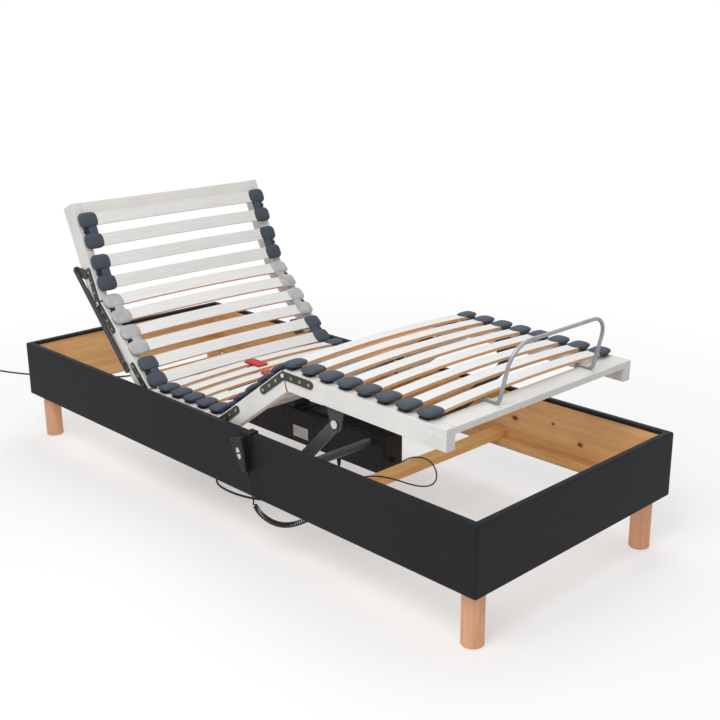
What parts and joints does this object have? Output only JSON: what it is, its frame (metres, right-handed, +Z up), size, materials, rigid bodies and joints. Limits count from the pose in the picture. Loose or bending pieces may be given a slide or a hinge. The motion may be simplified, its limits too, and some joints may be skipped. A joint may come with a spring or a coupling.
{
  "type": "adjustable bed base",
  "caption": "Upholstered box on round wooden legs holding a slatted frame whose head, back, thigh and calf sections are raised by a motor drive from a corded handset",
  "frame": {"origin": "On the floor under the middle of the box", "axes": "+X from head end to foot end, +Y to the far side away from the handset, +Z up"},
  "size_m": [2.9438, 0.8385, 0.8366],
  "materials": {
    "white_wood": "painted white",
    "slat_wood": "foil faced layered wood",
    "pine": "bare pine",
    "leg_wood": "clear lacquer",
    "panel_board": "bare board",
    "leatherette": "fine grained black leatherette",
    "blue_rubber": "blue grey, finely ribbed",
    "grey_rubber": "light grey, finely ribbed",
    "red_plastic": "red",
    "black_steel": "black",
    "grey_steel": "dark grey",
    "bow_steel": "silver grey",
    "bare_steel": "plain",
    "drive_plastic": "black",
    "nut_plastic": "natural",
    "handset_plastic": "black",
    "key_plastic": "light grey",
    "roller_plastic": "black",
    "cord_jacket": "black"
  },
  "bodies": {
    "base": {"side_board_near": "panel_board", "side_board_far": "panel_board", "head_end_board": "panel_board", "foot_end_board": "panel_board", "leatherette_covers": "leatherette", "corner_blocks": "pine", "legs": "leg_wood", "leg_studs": "bare_steel", "seat_supports": "pine", "cross_beam": "pine", "seat_rails": "white_wood", "seat_cross_boards": "white_wood", "seat_slats": "slat_wood", "seat_caps": "blue_rubber", "seat_straps": "black_steel", "drive_tray": "drive_plastic", "drive_cover": "drive_plastic", "drive_motors": "bare_steel", "drive_hangers": "grey_steel", "handset_front": "handset_plastic", "handset_rear": "handset_plastic", "handset_lead": "cord_jacket", "curly_cord": "cord_jacket", "mains_lead": "cord_jacket", "mains_coil": "cord_jacket", "mains_plug": "cord_jacket"},
    "back": {"back_rails": "white_wood", "back_cross_tie": "pine", "back_slats": "slat_wood", "back_caps_blue": "blue_rubber", "back_caps_grey": "grey_rubber", "back_straps": "black_steel"},
    "head": {"head_rails": "white_wood", "head_top_board": "white_wood", "head_slats": "slat_wood", "head_caps": "blue_rubber", "head_straps": "black_steel"},
    "stay": {"stay_bars": "black_steel"},
    "thigh": {"thigh_rails": "white_wood", "thigh_slats": "slat_wood", "thigh_caps": "blue_rubber", "thigh_straps": "black_steel"},
    "calf": {"calf_rails": "white_wood", "foot_board": "white_wood", "calf_slats": "slat_wood", "calf_caps": "blue_rubber", "calf_straps": "black_steel", "lift_brackets": "grey_steel", "retainer_bow": "bow_steel"},
    "leg_lift": {"leg_lift_lever": "grey_steel"},
    "back_lift": {"back_lift_lever": "grey_steel"},
    "rollers": {"back_lift_rollers": "roller_plastic"},
    "leg_nut": {"leg_drive_nut": "nut_plastic"},
    "back_nut": {"back_drive_nut": "nut_plastic"},
    "leg_screw": {"leg_spindle": "bare_steel"},
    "back_screw": {"back_spindle": "bare_steel"},
    "slider_head": {"firmness_slider_head": "red_plastic"},
    "slider_foot": {"firmness_slider_foot": "red_plastic"},
    "back_rocker": {"back_key": "key_plastic"},
    "leg_rocker": {"leg_key": "key_plastic"}
  },
  "joints": [
    {"name": "back_hinge", "type": "hinge", "parent": "base", "child": "back", "pos_m": [-0.313, 0, 0.305], "axis": [0, 1, 0], "range_deg": [-43.6, 8]},
    {"name": "head_tilt", "type": "hinge", "parent": "back", "child": "head", "pos_m": [-0.56067, 0, 0.54085], "axis": [0, 1, 0], "range_deg": [-22, 8]},
    {"name": "stay_pivot", "type": "hinge", "parent": "head", "child": "stay", "pos_m": [-0.67203, 0, 0.62803], "axis": [0, 1, 0], "range_deg": [-5, 13.6]},
    {"name": "thigh_hinge", "type": "hinge", "parent": "base", "child": "thigh", "pos_m": [0.037, 0, 0.305], "axis": [0, -1, 0], "range_deg": [-35.7, 3]},
    {"name": "knee_hinge", "type": "hinge", "parent": "thigh", "child": "calf", "pos_m": [0.32123, 0, 0.50924], "axis": [0, -1, 0], "range_deg": [-3.2, 37.4]},
    {"name": "leg_lift_shaft", "type": "hinge", "parent": "base", "child": "leg_lift", "pos_m": [0.302, 0, 0.23], "axis": [0, -1, 0], "range_deg": [-50.6, 4.5]},
    {"name": "back_lift_shaft", "type": "hinge", "parent": "base", "child": "back_lift", "pos_m": [-0.302, 0, 0.23], "axis": [0, 1, 0], "range_deg": [-34.9, 6.6]},
    {"name": "roller_spin", "type": "hinge", "parent": "back_lift", "child": "rollers", "pos_m": [-0.45465, 0, 0.35922], "axis": [0, 1, 0], "continuous": true},
    {"name": "leg_nut_travel", "type": "slide", "parent": "base", "child": "leg_nut", "axis": [1, 0, 0], "range_m": [-0.0386, 0.0035]},
    {"name": "back_nut_travel", "type": "slide", "parent": "base", "child": "back_nut", "axis": [-1, 0, 0], "range_m": [-0.0268, 0.0051]},
    {"name": "leg_screw_turn", "type": "hinge", "parent": "base", "child": "leg_screw", "pos_m": [0.25, 0, 0.172], "axis": [1, 0, 0], "range_deg": [-2300, 200]},
    {"name": "back_screw_turn", "type": "hinge", "parent": "base", "child": "back_screw", "pos_m": [-0.25, 0, 0.172], "axis": [-1, 0, 0], "range_deg": [-1610, 300]},
    {"name": "slider_head_travel", "type": "slide", "parent": "base", "child": "slider_head", "axis": [0, 1, 0], "range_m": [-0.05, 0.06]},
    {"name": "slider_foot_travel", "type": "slide", "parent": "base", "child": "slider_foot", "axis": [0, 1, 0], "range_m": [-0.03, 0.06]},
    {"name": "back_key_rock", "type": "hinge", "parent": "base", "child": "back_rocker", "pos_m": [0.19187, -0.4175, 0.28509], "axis": [0.9397, 0, 0.342], "range_deg": [-4, 4], "stiffness_Nm_per_rad": 0.2},
    {"name": "leg_key_rock", "type": "hinge", "parent": "base", "child": "leg_rocker", "pos_m": [0.19871, -0.4175, 0.2663], "axis": [0.9397, 0, 0.342], "range_deg": [-4, 4], "stiffness_Nm_per_rad": 0.2}
  ],
  "couplings": [
    {"joint": "stay_pivot", "follows": "head_tilt", "ratio": -0.6083},
    {"joint": "knee_hinge", "follows": "thigh_hinge", "ratio": -1.042},
    {"joint": "leg_lift_shaft", "follows": "thigh_hinge", "ratio": 1.4087},
    {"joint": "leg_nut_travel", "follows": "thigh_hinge", "m_per_rad": 0.061},
    {"joint": "leg_screw_turn", "follows": "thigh_hinge", "ratio": 63.88},
    {"joint": "back_lift_shaft", "follows": "back_hinge", "ratio": 0.79409},
    {"joint": "back_nut_travel", "follows": "back_hinge", "m_per_rad": 0.03497},
    {"joint": "back_screw_turn", "follows": "back_hinge", "ratio": 36.62}
  ]
}
